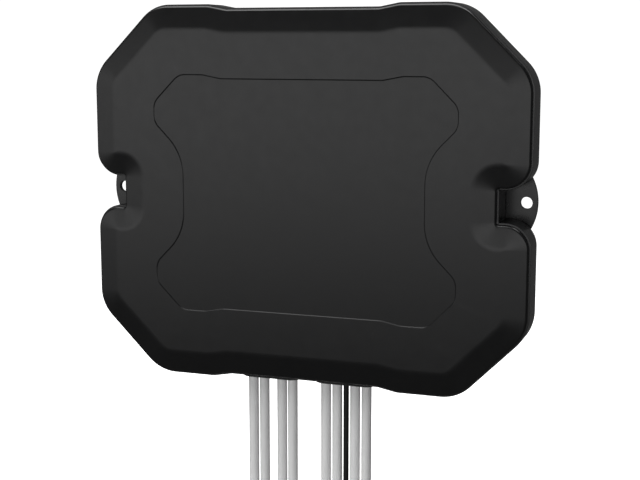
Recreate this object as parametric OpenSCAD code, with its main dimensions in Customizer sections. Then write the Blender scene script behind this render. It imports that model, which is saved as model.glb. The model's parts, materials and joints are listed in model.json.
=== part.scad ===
// Nine-lead wall antenna of a cellular signal booster.
// X points to the viewer's right, Z up and Y into the wall. The origin is midway between
// the two ear holes, on the wall plane that the back of the housing rests on.

/* [Housing] */
// Width of the front cover
body_w = 250; // [245:0.5:256]
// Height of the front cover over its corner wings
body_h = 208; // [204:0.5:212]
// Distance from the wall to the parting line between housing and cover
parting_depth = 23.5; // [23.5:0.1:25]
// Height of the cover's face in front of the parting line
cover_rise = 3.3; // [2.8:0.1:4]
// How far the housing stands out past the cover all round
housing_proud = 1; // [0.6:0.1:1.2]
// How much lower the edge is between the corner wings
wing_step = 2.1; // [1.5:0.1:2.6]
// Leg of the 45 degree corner cuts
corner_cut = 37; // [35:0.5:39]
// Radius at both ends of each corner cut
corner_r = 22; // [18:0.5:24]

/* [Side notches] */
// Depth of each side notch
notch_depth = 17.4; // [17:0.1:18]
// Height of each side notch
notch_h = 19.2; // [18.5:0.1:20]
// Radius of the lobes above and below a notch
lobe_r = 13; // [12.8:0.1:13.4]

/* [Mounting ears] */
// Distance between the two ear holes
hole_spacing = 239; // [238:0.1:240]
// Diameter of the ear holes, clearance for M6
hole_d = 6.4; // [6:0.1:6.8]
// Distance from the middle of the housing to the tip of an ear
ear_reach = 125.5; // [125:0.1:127]
// Radius of the ears' curved edge
ear_r = 30; // [28:1:34]
// Thickness of the ears
ear_t = 3.2; // [3:0.1:3.4]

/* [Leads] */
// Length of each lead from its exit to its plug
lead_length = 1000; // [980:10:1020]
// Diameter of the eight grey coaxes
coax_d = 5.8; // [5.6:0.05:5.8]
// Diameter of the thin black coax
thin_d = 3.2; // [3:0.1:3.2]

/* [Hidden] */
half_w = body_w / 2;
wing_z = body_h / 2;
mid_z = wing_z - wing_step;
step_x = 49;
step_run = 11;
step_r = 8;
wing_r = 14;
notch_x = half_w - notch_depth;
notch_z = notch_h / 2;
notch_r = 1.5;
face_y = -parting_depth - cover_rise;

bevel_w = 12.5;
rim_h = 1.6;
rim_r = 1.2;
panel_depth = 0.3;
wall_t = 2.6;
back_t = 2.6;
groove_gap = 1.1;
housing_front_y = -parting_depth + groove_gap;
lip_inset = 2;
lip_t = 1.8;
lip_back_y = -parting_depth + 4;
pocket_depth = 0.9;
overlap = 0.5;
back_over = 1;

// Centre panel of the cover
panel_wing_z = 66.6;
panel_mid_z = 64.5;
panel_step_x = 52;
panel_cut_x = 71.8;
panel_side_x = 87.4;
panel_side_z = 40;
panel_waist_x = 70;
panel_waist_z = 22.4;
panel_r = 9;

cover_screw_at = [
    [114, 46], [78, 94.5], [0, 93], [-78, 94.5], [-114, 46],
    [-114, -46], [-78, -94.5], [0, -93], [78, -94.5], [114, -46]
];
screw_d = 3;
post_d = 8;
post_end_y = -9;
counterbore_d = 7;
counterbore_depth = 3;

plate_y = -4.8;
plate_t = 1.2;
plate_w = 200;
plate_low_z = -76;
plate_high_z = 84;
plate_cut = 30;
plate_screw_at = [[85, 66], [-85, 66], [85, -36], [-85, -36], [0, 78], [0, -68]];
plate_front_y = plate_y - plate_t;

cell_at = [[-64, -50], [-64, 52], [64, 52], [64, -50]];
cell_size = [66, 40];
cell_y = -19.4;
cell_t = 0.6;
wifi_at = [[-13, -38], [-20, 66], [20, 66], [16, -38]];
wifi_size = [24, 20];
board_y = -16;
board_t = 1;
gnss_at = [0, 16];
gnss_size = 32;
vent_at = [-64, 4];
vent_d = 12;

exit_x = 22.1;
exit_z = -105;
lead_y = -12;
grommet_w = 36.2;
grommet_t = 13;
neck_w = 31.6;
neck_t = 10;
clamp_z = -84;
clamp_h = 8;
clamp_w = 42;
clamp_t = 5;
clamp_front_y = lead_y - clamp_t;
clamp_screw_x = 18.5;
inner_y = -9;

coil_x = 54;
coil_z = -223.5;
coil_pitch = 6.75;
coil_r_max = 42.3;
coil_lean = 0.04;
thin_y = -5.8;
tie_angle = 16;

// One row for each lead, from left to right: offset from its exit's middle, diameter,
// coil radius, whole turns, and how far from the middle its plug hangs
THIN = 6;
LEADS = [
    [-exit_x - 12, coax_d, 24, 5, -36],
    [-exit_x - 5.3, coax_d, 30.1, 4, -27],
    [-exit_x + 5.5, coax_d, 36.2, 3, -18],
    [-exit_x + 12, coax_d, coil_r_max, 3, -9],
    [exit_x - 12, coax_d, coil_r_max, 3, 9],
    [exit_x - 5.3, coax_d, 36.2, 3, 18],
    [exit_x, thin_d, 19, 6, 45],
    [exit_x + 5.3, coax_d, 30.1, 4, 27],
    [exit_x + 12, coax_d, 24, 5, 36]
];

// Route from an exit to the side of a coil: share of the sideways shift, share of the
// shift towards the wall, and height
DROP = [
    [0, 0, -105], [0, 0, -168], [0.05, 0.5, -179], [0.25, 1, -190],
    [0.6, 1, -200], [0.9, 1, -210], [1, 1, coil_z]
];
// Route from a coil to a plug: share of the sideways shift, and height
TAIL = [[0, coil_z], [0.1, -234], [0.4, -250], [0.8, -268], [1, -284], [1, -298]];

// Routes inside the housing, each from its clamp to its element: [x, z]
INNER = [
    [[-34.1, -80], [-37, -72], [-42, -64], [-46, -58]],
    [[-27.4, -80], [-29, -64], [-33, -30], [-34, 10], [-37, 34], [-44, 44]],
    [[-16.6, -80], [-20, -68], [-24, -48], [-24, 0], [-24, 40], [-22, 54]],
    [[-10.1, -80], [-11, -70], [-12, -62], [-13, -54]],
    [[10.1, -80], [8, -66], [6, -40], [5.5, 0], [7, 40], [12, 54]],
    [[16.8, -80], [17, -70], [16, -62], [16, -54]],
    [[22.1, -80], [24, -66], [25, -40], [23, -10], [17, 2]],
    [[27.4, -80], [29, -64], [33, -30], [34, 10], [37, 34], [44, 44]],
    [[34.1, -80], [37, -72], [42, -64], [46, -58]]
];

ferrule_len = 8;
shoulder_len = 3;
neck_len = 2.5;
plug_front = 11;
nut_af = 8;
nut_len = 8;
running_gap = 0.08;

// Vectors and outlines in the X-Z plane

function unit(v) = v / norm(v);
function left_of(v) = [-v[1], v[0]];
function wrap(i, n) = (i + n) % n;
function mirrored(corners) = [
    for (i = [len(corners) - 1 : -1 : 0])
        [-corners[i][0], corners[i][1], corners[i][2]]
];

// Corners are [x, z, radius], anticlockwise as seen from the front
function turn_at(c, i) =
    let (
        n = len(c),
        a = c[wrap(i - 1, n)],
        b = c[i],
        d = c[wrap(i + 1, n)],
        u = unit([b[0] - a[0], b[1] - a[1]]),
        v = unit([d[0] - b[0], d[1] - b[1]])
    )
    atan2(u[0] * v[1] - u[1] * v[0], u[0] * v[0] + u[1] * v[1]);

// The same corners moved inwards by d
function inset(c, d) = [
    for (i = [0 : len(c) - 1])
        let (
            n = len(c),
            a = c[wrap(i - 1, n)],
            b = c[i],
            e = c[wrap(i + 1, n)],
            m = left_of(unit([b[0] - a[0], b[1] - a[1]])),
            k = left_of(unit([e[0] - b[0], e[1] - b[1]])),
            shift = d * (m + k) / (1 + m * k),
            r = b[2] - d * sign(turn_at(c, i))
        )
        [b[0] + shift[0], b[1] + shift[1], max(r, 1)]
];

// Points of the outline with its corners rounded
function rounded(c) = [
    for (i = [0 : len(c) - 1])
        let (
            n = len(c),
            a = c[wrap(i - 1, n)],
            b = c[i],
            u = unit([b[0] - a[0], b[1] - a[1]]),
            turn = turn_at(c, i),
            r = b[2],
            start = [b[0], b[1]] - u * r * tan(abs(turn) / 2),
            steps = max(2, ceil(abs(turn) / 15))
        )
        for (k = [0 : steps])
            let (t = abs(turn) * k / steps)
            start + left_of(u) * sign(turn) * r * (1 - cos(t)) + u * r * sin(t)
];

function half_corners() = [
    [step_x - step_run / 2, -mid_z, step_r],
    [step_x + step_run / 2, -wing_z, wing_r],
    [half_w - corner_cut, -wing_z, corner_r],
    [half_w, -(wing_z - corner_cut), corner_r],
    [half_w, -notch_z, lobe_r],
    [notch_x, -notch_z, notch_r],
    [notch_x, notch_z, notch_r],
    [half_w, notch_z, lobe_r],
    [half_w, wing_z - corner_cut, corner_r],
    [half_w - corner_cut, wing_z, corner_r],
    [step_x + step_run / 2, wing_z, wing_r],
    [step_x - step_run / 2, mid_z, step_r]
];
body_corners = [each half_corners(), each mirrored(half_corners())];

function half_panel() = [
    [panel_step_x - step_run / 2, -panel_mid_z, 6],
    [panel_step_x + step_run / 2, -panel_wing_z, 6],
    [panel_cut_x, -panel_wing_z, panel_r],
    [panel_side_x, -(panel_wing_z - panel_side_x + panel_cut_x), panel_r],
    [panel_side_x, -panel_side_z, panel_r],
    [panel_waist_x, -panel_waist_z, 30],
    [panel_waist_x, panel_waist_z, 30],
    [panel_side_x, panel_side_z, panel_r],
    [panel_side_x, panel_wing_z - panel_side_x + panel_cut_x, panel_r],
    [panel_cut_x, panel_wing_z, panel_r],
    [panel_step_x + step_run / 2, panel_wing_z, 6],
    [panel_step_x - step_run / 2, panel_mid_z, 6]
];
panel_corners = [each half_panel(), each mirrored(half_panel())];

// Solid between y_back and y_front with the given outline
module slab(points, y_back, y_front) {
    translate([0, y_back, 0])
        rotate([90, 0, 0])
            linear_extrude(y_back - y_front)
                polygon(points);
}

// Solid through rings of equal length, each [outline points, y], from back to front
module loft(rings) {
    n = len(rings[0][0]);
    last = len(rings) - 1;
    polyhedron(
        points = [for (ring = rings) for (p = ring[0]) [p[0], ring[1], p[1]]],
        faces = [
            [for (i = [0 : n - 1]) i],
            [for (i = [n - 1 : -1 : 0]) last * n + i],
            for (k = [0 : last - 1])
                for (i = [0 : n - 1])
                    let (j = (i + 1) % n)
                    [(k + 1) * n + i, (k + 1) * n + j, k * n + j, k * n + i]
        ]
    );
}

// Cylinder along Y between two depths
module rod_y(at, d, y_back, y_front) {
    translate([at[0], y_back, at[1]])
        rotate([90, 0, 0])
            cylinder(d = d, h = y_back - y_front, $fn = 48);
}

// Tube swept along a route
module tube(route, d, sides) {
    last = len(route) - 1;
    polyhedron(
        points = [
            for (i = [0 : last])
                let (
                    along = unit(route[min(i + 1, last)] - route[max(i - 1, 0)]),
                    side = unit(cross(along, [0, 1, 0])),
                    up = cross(side, along)
                )
                for (k = [0 : sides - 1])
                    route[i] + d / 2 * (side * cos(360 * k / sides) + up * sin(360 * k / sides))
        ],
        faces = [
            [for (k = [0 : sides - 1]) k],
            [for (k = [sides - 1 : -1 : 0]) last * sides + k],
            for (i = [0 : last - 1])
                for (k = [0 : sides - 1])
                    let (m = (k + 1) % sides)
                    [(i + 1) * sides + k, (i + 1) * sides + m, i * sides + m, i * sides + k]
        ]
    );
}

function sides_of(i) = i == THIN ? 8 : 10;

// Housing pieces

module front_cover() {
    // The bevel is built a little past the face and then cut flat
    past_w = 14;
    past_h = rim_h + (past_w - rim_r) * (cover_rise - rim_h) / (bevel_w - rim_r);
    color("#2c2c2e")
        difference() {
            union() {
                difference() {
                    loft([
                        [rounded(inset(body_corners, 0.3)), -parting_depth + 1],
                        [rounded(inset(body_corners, 0.3)), -parting_depth],
                        [rounded(body_corners), -parting_depth - 0.4],
                        [rounded(inset(body_corners, 0.3 * rim_r)), -parting_depth - 0.75 * rim_h],
                        [rounded(inset(body_corners, rim_r)), -parting_depth - rim_h],
                        [rounded(inset(body_corners, past_w)), -parting_depth - past_h]
                    ]);
                    translate([-body_w, face_y - 2, -body_h])
                        cube([2 * body_w, 2, 2 * body_h]);
                    translate([-body_w, -parting_depth, -body_h])
                        cube([2 * body_w, 2, 2 * body_h]);
                    slab(rounded(panel_corners), face_y + panel_depth, face_y - 1);
                }
                difference() {
                    slab(rounded(inset(body_corners, lip_inset)), lip_back_y, -parting_depth - overlap);
                    slab(rounded(inset(body_corners, lip_inset + lip_t)), lip_back_y + 1, -parting_depth - 1);
                }
                for (at = cover_screw_at)
                    rod_y(at, post_d, post_end_y, -parting_depth - overlap);
            }
            slab(rounded(panel_corners), -parting_depth + 1, -parting_depth - pocket_depth);
            for (at = cover_screw_at)
                rod_y(at, screw_d, post_end_y + 1, -parting_depth + 2);
        }
}

// Half-round seats for the leads of one exit, cut along Z
module lead_seats(side) {
    for (i = [0 : len(LEADS) - 1])
        if (LEADS[i][0] * side > 0)
            translate([LEADS[i][0], lead_y, clamp_z - clamp_h])
                cylinder(d = LEADS[i][1], h = 2 * clamp_h, $fn = 32);
}

module clamp_bar(side) {
    difference() {
        translate([side * exit_x - clamp_w / 2, lead_y - clamp_t, clamp_z - clamp_h / 2])
            cube([clamp_w, clamp_t, clamp_h]);
        lead_seats(side);
        for (s = [-1, 1])
            rod_y([side * exit_x + s * clamp_screw_x, clamp_z], screw_d + 0.2, lead_y + 1, clamp_front_y - 1);
    }
}

// Stadium-shaped block along Z
module rounded_block(w, t, z_low, z_high) {
    translate([-(w - t) / 2, -t / 2, z_low])
        cube([w - t, t, z_high - z_low]);
    for (s = [-1, 1])
        translate([s * (w - t) / 2, 0, z_low])
            cylinder(d = t, h = z_high - z_low, $fn = 48);
}

wall_out_z = -(mid_z + housing_proud);
wall_in_z = wall_out_z + wall_t;

module rear_housing() {
    color("#303032")
        difference() {
            union() {
                difference() {
                    union() {
                        slab(rounded(inset(body_corners, 3)), back_over, -2);
                        slab(rounded(body_corners), -1.2, -4.5);
                        slab(rounded(inset(body_corners, -housing_proud)), -3.6, housing_front_y);
                    }
                    slab(rounded(inset(body_corners, wall_t - housing_proud)), -back_t, housing_front_y - 1);
                }
                for (s = [-1, 1])
                    intersection() {
                        rod_y([s * (ear_reach - ear_r), 0], 2 * ear_r, back_over, -ear_t);
                        translate([s > 0 ? notch_x - 3 : -ear_reach - 1, -ear_t, -15])
                            cube([ear_reach - notch_x + 4, ear_t + back_over, 30]);
                    }
                for (at = cover_screw_at)
                    rod_y(at, post_d + 1, -back_t + overlap, post_end_y);
                for (at = plate_screw_at)
                    rod_y(at, post_d - 1, -back_t + overlap, plate_y);
                for (s = [-1, 1])
                    difference() {
                        translate([s * exit_x - clamp_w / 2, lead_y, clamp_z - clamp_h / 2])
                            cube([clamp_w, -lead_y - back_t + overlap, clamp_h]);
                        lead_seats(s);
                    }
            }
            translate([-body_w, 0, -body_h])
                cube([2 * body_w, 2 * back_over, 2 * body_h]);
            for (s = [-1, 1]) {
                rod_y([s * hole_spacing / 2, 0], hole_d, 1, -ear_t - 1);
                translate([s * exit_x, lead_y, 0])
                    rounded_block(neck_w, neck_t, wall_out_z - 1, wall_in_z + 1);
                for (t = [-1, 1])
                    rod_y([s * exit_x + t * clamp_screw_x, clamp_z], screw_d, -back_t - 1, lead_y - 1);
            }
            for (at = cover_screw_at) {
                rod_y(at, counterbore_d, 1, -counterbore_depth);
                rod_y(at, screw_d + 0.4, 0, post_end_y - 1);
            }
            for (at = plate_screw_at)
                rod_y(at, screw_d, -0.8, plate_y - 1);
            rod_y(vent_at, vent_d, 1, -back_t - 1);
        }
}

module gasket() {
    color("#161616")
        difference() {
            slab(rounded(inset(body_corners, 0.6)), housing_front_y, -parting_depth);
            slab(rounded(inset(body_corners, 1.9)), housing_front_y + 1, -parting_depth - 1);
        }
}

// Pan-head screw along Y: its head is under_y to head_y, its tip at tip_y
module pan_screw(at, head_y, under_y, tip_y) {
    rod_y(at, 2 * screw_d, max(head_y, under_y), min(head_y, under_y));
    rod_y(at, screw_d, max(under_y, tip_y), min(under_y, tip_y));
}

module cover_screws() {
    color("silver")
        for (at = cover_screw_at)
            difference() {
                pan_screw(at, -0.9, -counterbore_depth, -20);
                rod_y(at, 2, 0, -1.9);
            }
}

module plate_screws() {
    color("silver")
        for (at = plate_screw_at)
            pan_screw(at, plate_front_y - 1.8, plate_front_y, -1.4);
}

module clamp_screws() {
    color("silver")
        for (s = [-1, 1])
            for (t = [-1, 1])
                pan_screw([s * exit_x + t * clamp_screw_x, clamp_z], clamp_front_y - 1.8, clamp_front_y, -4.5);
}

module vent_plug() {
    color("#1c1c1c")
        difference() {
            union() {
                rod_y(vent_at, vent_d, -0.2, -back_t);
                rod_y(vent_at, vent_d + 3, -back_t, -back_t - 1.4);
            }
            for (k = [0 : 4])
                rod_y(vent_at + 3 * [cos(72 * k), sin(72 * k)], 1.4, 1, -1.6);
        }
}

// Antenna pieces

module ground_plate() {
    w = plate_w / 2;
    outline = [
        [-w, plate_low_z + plate_cut], [-w + plate_cut, plate_low_z],
        [w - plate_cut, plate_low_z], [w, plate_low_z + plate_cut],
        [w, plate_high_z - plate_cut], [w - plate_cut, plate_high_z],
        [-w + plate_cut, plate_high_z], [-w, plate_high_z - plate_cut]
    ];
    color("#b9bcc0")
        difference() {
            slab(outline, plate_y, plate_front_y);
            for (at = plate_screw_at)
                rod_y(at, screw_d + 0.4, 0, plate_front_y - 1);
            for (at = post_at)
                rod_y(at, peg_d, 0, plate_front_y - 1);
        }
}

post_w = 5;
peg_d = 2.4;
cell_post_at = [for (c = cell_at) for (dx = [6, 24]) [c[0] + sign(c[0]) * dx, c[1]]];
wifi_post_at = [
    [-13, -31], [-13, -45], [-28, 68], [-12, 68], [28, 68], [12, 68], [16, -31], [16, -45]
];
gnss_post_at = [[-12, 5], [-12, 27], [13, 27]];
post_at = [each cell_post_at, each wifi_post_at, each gnss_post_at];

module peg_post(at, top_y) {
    rod_y(at, post_w, plate_front_y, top_y);
    rod_y(at, peg_d, plate_y, top_y - 1.6);
}

module element_posts() {
    color("ivory") {
        for (at = cell_post_at)
            peg_post(at, cell_y);
        for (at = wifi_post_at)
            peg_post(at, board_y);
        for (at = gnss_post_at)
            peg_post(at, board_y);
    }
}

// Bent brass plate with a slot, a feed leg and a ground leg
module cell_element(k) {
    at = cell_at[k];
    s = sign(at[0]);
    w = cell_size[0];
    h = cell_size[1];
    color("#c8a24a")
        difference() {
            union() {
                translate([at[0] - w / 2, cell_y - cell_t, at[1] - h / 2])
                    cube([w, cell_t, h]);
                for (leg = [[-16, -7.6], [-6, plate_front_y]])
                    translate([at[0] + s * leg[0] - cell_t / 2, cell_y - cell_t, at[1] - 3])
                        cube([cell_t, leg[1] - cell_y + cell_t, 6]);
            }
            translate([at[0] - 2, cell_y - 1, at[1] + sign(at[1]) * 6])
                cube([w, 2, 3]);
            for (dx = [6, 24])
                rod_y([at[0] + s * dx, at[1]], peg_d, cell_y + 1, cell_y - 1);
        }
}

// Circuit board with its copper, on two pegs
module wifi_element(k) {
    at = wifi_at[k];
    color("#2f6b3d")
        difference() {
            union() {
                translate([at[0] - wifi_size[0] / 2, board_y - board_t, at[1] - wifi_size[1] / 2])
                    cube([wifi_size[0], board_t, wifi_size[1]]);
                for (s = [-1, 1])
                    translate([at[0] + s * 5 - 3, board_y - board_t - 0.1, at[1] - 4.5])
                        cube([6, 0.2, 9]);
            }
            for (p = wifi_post_at)
                if (norm(p - at) < 14)
                    rod_y(p, peg_d, board_y + 1, board_y - 2);
        }
}

module gnss_patch() {
    color("#d9cdb4")
        translate([gnss_at[0] - 9, board_y - board_t - 3.4, gnss_at[1] - 9])
            cube([18, 3.4, 18]);
}

module gnss_board() {
    color("#2f6b3d")
        difference() {
            translate([gnss_at[0] - gnss_size / 2, board_y - board_t, gnss_at[1] - gnss_size / 2])
                cube([gnss_size, board_t, gnss_size]);
            for (p = gnss_post_at)
                rod_y(p, peg_d, board_y + 1, board_y - 2);
        }
}

module gnss_shield() {
    color("silver")
        translate([gnss_at[0] - 8, board_y, gnss_at[1] - 8])
            difference() {
                cube([16, 2.4, 16]);
                translate([0.3, -1, 0.3])
                    cube([15.4, 3.1, 15.4]);
            }
}

// Cable exits and leads

module grommet(side) {
    color("#1a1a1a")
        difference() {
            translate([side * exit_x, lead_y, 0]) {
                rounded_block(grommet_w, grommet_t, exit_z, wall_out_z);
                rounded_block(neck_w, neck_t, wall_out_z - overlap, wall_in_z + overlap);
                rounded_block(grommet_w, grommet_t, wall_in_z, wall_in_z + 3);
            }
            for (lead = LEADS)
                if (lead[0] * side > 0)
                    translate([lead[0], lead_y, exit_z - 1])
                        cylinder(d = lead[1], h = 20, $fn = 32);
        }
}

// The leads of one side inside the housing
module inner_leads(side) {
    color("#b4b4b4")
        for (i = [0 : len(LEADS) - 1])
            if (LEADS[i][0] * side > 0)
                tube([
                    [LEADS[i][0], lead_y, exit_z],
                    [LEADS[i][0], lead_y, INNER[i][0][1]],
                    [INNER[i][1][0], (lead_y + inner_y) / 2, INNER[i][1][1]],
                    for (k = [2 : len(INNER[i]) - 1]) [INNER[i][k][0], inner_y, INNER[i][k][1]]
                ], LEADS[i][1], sides_of(i));
}

function coil_side(i) = sign(LEADS[i][0]);
function start_y(i) = i == THIN ? thin_y : lead_y + coil_lean * (coil_r_max - LEADS[i][2]);
function entry_x(i) = coil_side(i) * (coil_x - LEADS[i][2]);
function end_y(i) = start_y(i) - coil_pitch * LEADS[i][3];

function drop_route(i) = [
    for (s = DROP)
        [LEADS[i][0] + s[0] * (entry_x(i) - LEADS[i][0]), lead_y + s[1] * (start_y(i) - lead_y), s[2]]
];
function tail_route(i) = [
    for (s = TAIL)
        [entry_x(i) + s[0] * (LEADS[i][4] - entry_x(i)), end_y(i), s[1]]
];
function route_len(p, k = 1) = k >= len(p) ? 0 : norm(p[k] - p[k - 1]) + route_len(p, k + 1);
function coil_len(i) = LEADS[i][3] * norm([2 * PI * LEADS[i][2], coil_pitch]);
function plug_at(i) =
    let (
        used = route_len(drop_route(i)) + coil_len(i) + route_len(tail_route(i)),
        foot = tail_route(i)[len(TAIL) - 1]
    )
    foot - [0, 0, lead_length - used];

module lead(i) {
    color(i == THIN ? "#181818" : "#b4b4b4") {
        tube(drop_route(i), LEADS[i][1], sides_of(i));
        tube([each tail_route(i), plug_at(i)], LEADS[i][1], sides_of(i));
    }
}

// Outer shape of a coil: [radius, depth from the wall]
COIL_LEFT = [[21, 8.3], [45.3, 8.3], [45.3, 35.2], [35, 35.2], [28.5, 47.9], [21, 47.9]];
COIL_RIGHT = [
    [17.3, 4.1], [20.8, 4.1], [22.5, 8.3], [45.3, 8.3], [45.3, 35.2], [35, 35.2], [28.5, 47.9], [17.3, 47.9]
];
TIE_LEFT = [[20, 7.3], [46.3, 7.3], [46.3, 36.2], [35.6, 36.2], [29.1, 48.9], [20, 48.9]];
TIE_RIGHT = [
    [16.3, 3.1], [21.4, 3.1], [23, 7.3], [46.3, 7.3], [46.3, 36.2], [35.6, 36.2], [29.1, 48.9], [16.3, 48.9]
];

module coil(side) {
    color("#b0b0b0")
        translate([side * coil_x, 0, coil_z])
            rotate([90, 0, 0])
                rotate_extrude($fn = 96)
                    polygon(side < 0 ? COIL_LEFT : COIL_RIGHT);
}

module tie(side) {
    color("#202020")
        translate([side * coil_x, 0, coil_z])
            rotate([90, 0, 0])
                for (turn = [90, 270])
                    rotate([0, 0, turn - tie_angle / 2])
                        rotate_extrude(angle = tie_angle, $fn = 96)
                            difference() {
                                polygon(side < 0 ? TIE_LEFT : TIE_RIGHT);
                                polygon(side < 0 ? COIL_LEFT : COIL_RIGHT);
                            }
}

// Plugs on the leads' ends. Heights are measured down from the end of the cable.

// Solid of revolution about a lead's end: profile is [radius, height]
module turned(i, profile) {
    translate(plug_at(i))
        rotate_extrude($fn = 48)
            polygon(profile);
}

function cable_r(i) = LEADS[i][1] / 2;
function ferrule_r(i) = cable_r(i) + 0.7;

module plug(i) {
    sleeve = neck_len + shoulder_len;
    color("#c9a24e")
        turned(i, [
            [cable_r(i), ferrule_len], [ferrule_r(i), ferrule_len], [ferrule_r(i), 0], [3.1, 0],
            [3.1, -shoulder_len], [2.5, -shoulder_len], [2.5, -sleeve + 0.8], [3.0, -sleeve + 0.8],
            [3.0, -sleeve], [2.3, -sleeve], [2.3, -plug_front], [0.45, -plug_front], [0.45, -0.5],
            [0, -0.5], [0, 0], [cable_r(i), 0]
        ]);
}

module nut(i) {
    top = -shoulder_len - 0.2;
    lip = 1.2;
    color("#d3ad58")
        translate(plug_at(i) + [0, 0, top])
            difference() {
                translate([0, 0, -nut_len])
                    cylinder(d = nut_af / cos(30), h = nut_len, $fn = 6);
                translate([0, 0, -nut_len - 1])
                    cylinder(r = 3.3, h = nut_len + 1 - lip, $fn = 48);
                translate([0, 0, -lip - 1])
                    cylinder(r = 2.5 + running_gap, h = lip + 2, $fn = 48);
            }
}

module plug_pins() {
    color("gold")
        for (i = [0 : len(LEADS) - 1])
            turned(i, [
                [0, -0.5], [0.45, -0.5], [0.45, -plug_front - 1],
                [0.2, -plug_front - 1.4], [0, -plug_front - 1.4]
            ]);
}

module plug_boots() {
    color("#141414")
        for (i = [0 : len(LEADS) - 1])
            turned(i, [
                [ferrule_r(i), 0.4], [ferrule_r(i) + 0.5, 0.4], [ferrule_r(i) + 0.5, ferrule_len + 1],
                [cable_r(i) + 0.5, ferrule_len + 3], [cable_r(i) + 0.5, ferrule_len + 10],
                [cable_r(i), ferrule_len + 10], [cable_r(i), ferrule_len], [ferrule_r(i), ferrule_len]
            ]);
}

front_cover();
rear_housing();
gasket();
cover_screws();
vent_plug();
ground_plate();
plate_screws();
element_posts();
cell_element(0);  // cell_element_1
cell_element(1);  // cell_element_2
cell_element(2);  // cell_element_3
cell_element(3);  // cell_element_4
wifi_element(0);  // wifi_element_1
wifi_element(1);  // wifi_element_2
wifi_element(2);  // wifi_element_3
wifi_element(3);  // wifi_element_4
gnss_patch();
gnss_board();
gnss_shield();
grommet(-1);  // grommet_left
grommet(1);  // grommet_right
color("#3a3a3c") clamp_bar(-1);  // clamp_left
color("#3a3a3c") clamp_bar(1);  // clamp_right
clamp_screws();
inner_leads(-1);  // inner_leads_left
inner_leads(1);  // inner_leads_right
coil(-1);  // coil_left
coil(1);  // coil_right
tie(-1);  // tie_left
tie(1);  // tie_right
plug_pins();
plug_boots();
lead(0);  // lead_1
plug(0);  // plug_1
nut(0);  // nut_1
lead(1);  // lead_2
plug(1);  // plug_2
nut(1);  // nut_2
lead(2);  // lead_3
plug(2);  // plug_3
nut(2);  // nut_3
lead(3);  // lead_4
plug(3);  // plug_4
nut(3);  // nut_4
lead(4);  // lead_5
plug(4);  // plug_5
nut(4);  // nut_5
lead(5);  // lead_6
plug(5);  // plug_6
nut(5);  // nut_6
lead(6);  // lead_7
plug(6);  // plug_7
nut(6);  // nut_7
lead(7);  // lead_8
plug(7);  // plug_8
nut(7);  // nut_8
lead(8);  // lead_9
plug(8);  // plug_9
nut(8);  // nut_9
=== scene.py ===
import json
import math

import bmesh
import bpy
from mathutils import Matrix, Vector


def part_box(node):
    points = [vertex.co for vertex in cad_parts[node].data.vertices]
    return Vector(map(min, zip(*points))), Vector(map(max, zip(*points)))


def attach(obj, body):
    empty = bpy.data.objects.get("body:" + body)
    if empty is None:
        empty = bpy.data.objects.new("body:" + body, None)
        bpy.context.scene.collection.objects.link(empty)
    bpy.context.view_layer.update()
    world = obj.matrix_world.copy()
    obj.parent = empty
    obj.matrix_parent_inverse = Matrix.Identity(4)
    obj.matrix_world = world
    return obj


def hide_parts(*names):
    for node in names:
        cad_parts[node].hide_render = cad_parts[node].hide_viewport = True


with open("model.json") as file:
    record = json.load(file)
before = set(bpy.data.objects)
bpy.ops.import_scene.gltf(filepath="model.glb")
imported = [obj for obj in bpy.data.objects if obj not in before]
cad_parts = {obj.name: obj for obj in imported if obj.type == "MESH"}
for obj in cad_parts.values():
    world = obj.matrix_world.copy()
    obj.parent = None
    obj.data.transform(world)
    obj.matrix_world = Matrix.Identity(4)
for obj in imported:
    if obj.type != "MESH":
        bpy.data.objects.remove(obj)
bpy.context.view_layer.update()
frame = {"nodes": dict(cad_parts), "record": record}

# ---------------------------------------------------------------- sizes and places, in mm
MM = 0.001

# depths in front of the wall
PARTING_Y = -23.5
FACE_Y = -26.8
LIP_Y = -19.5
TRAY_FRONT_Y = -22.4
POST_Y = -9.0
LEAD_Y = -12.0
WALL_T = 2.6
TRAY_PROUD = 1.0

# outline of the cover, with its corner wings and side notches
HALF_W = 125
WING_Z = 104
MID_Z = 101.9
CORNER_CUT = 37
CORNER_R = 22
NOTCH_X = 107.6
NOTCH_Z = 9.6
NOTCH_R = 1.5
LOBE_R = 13

# ears
HOLE_X = 119.5
HOLE_R = 3.2
EAR_R = 30.0
EAR_ARC_X = 95.5
EAR_ROOT_X = 104.8
EAR_HALF_H = 15.0
EAR_T = 3.2

# screws, their posts and holes, and the vent
COUNTERBORE_R = 3.5
COUNTERBORE_Y = -3.0
SCREW_HOLE_R = 1.7
POST_R = 4.5
UPPER_SCREWS = [(114, 46), (78, 94.5), (0, 93), (-78, 94.5), (-114, 46)]
COVER_SCREWS = UPPER_SCREWS + [(x, -z) for x, z in UPPER_SCREWS]
PLATE_POST_R = 3.5
PLATE_Y = -4.8
PLATE_SCREWS = [(85, 66), (-85, 66), (85, -36), (-85, -36), (0, 78), (0, -68)]
VENT_AT = (-64, 4)
VENT_R = 6.05

# cable exits, and the seats under the leads inside them
EXIT_X = 22.1
EXIT_Z = -105.0
WALL_OUT_Z = -(MID_Z + TRAY_PROUD)
FLANGE_W = 36.2
FLANGE_T = 13.0
NECK_W = 31.6
NECK_T = 10.0
SEAT_W = 42
SEAT_Y = -9.4
SEAT_Z = (-88, -80)

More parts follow.
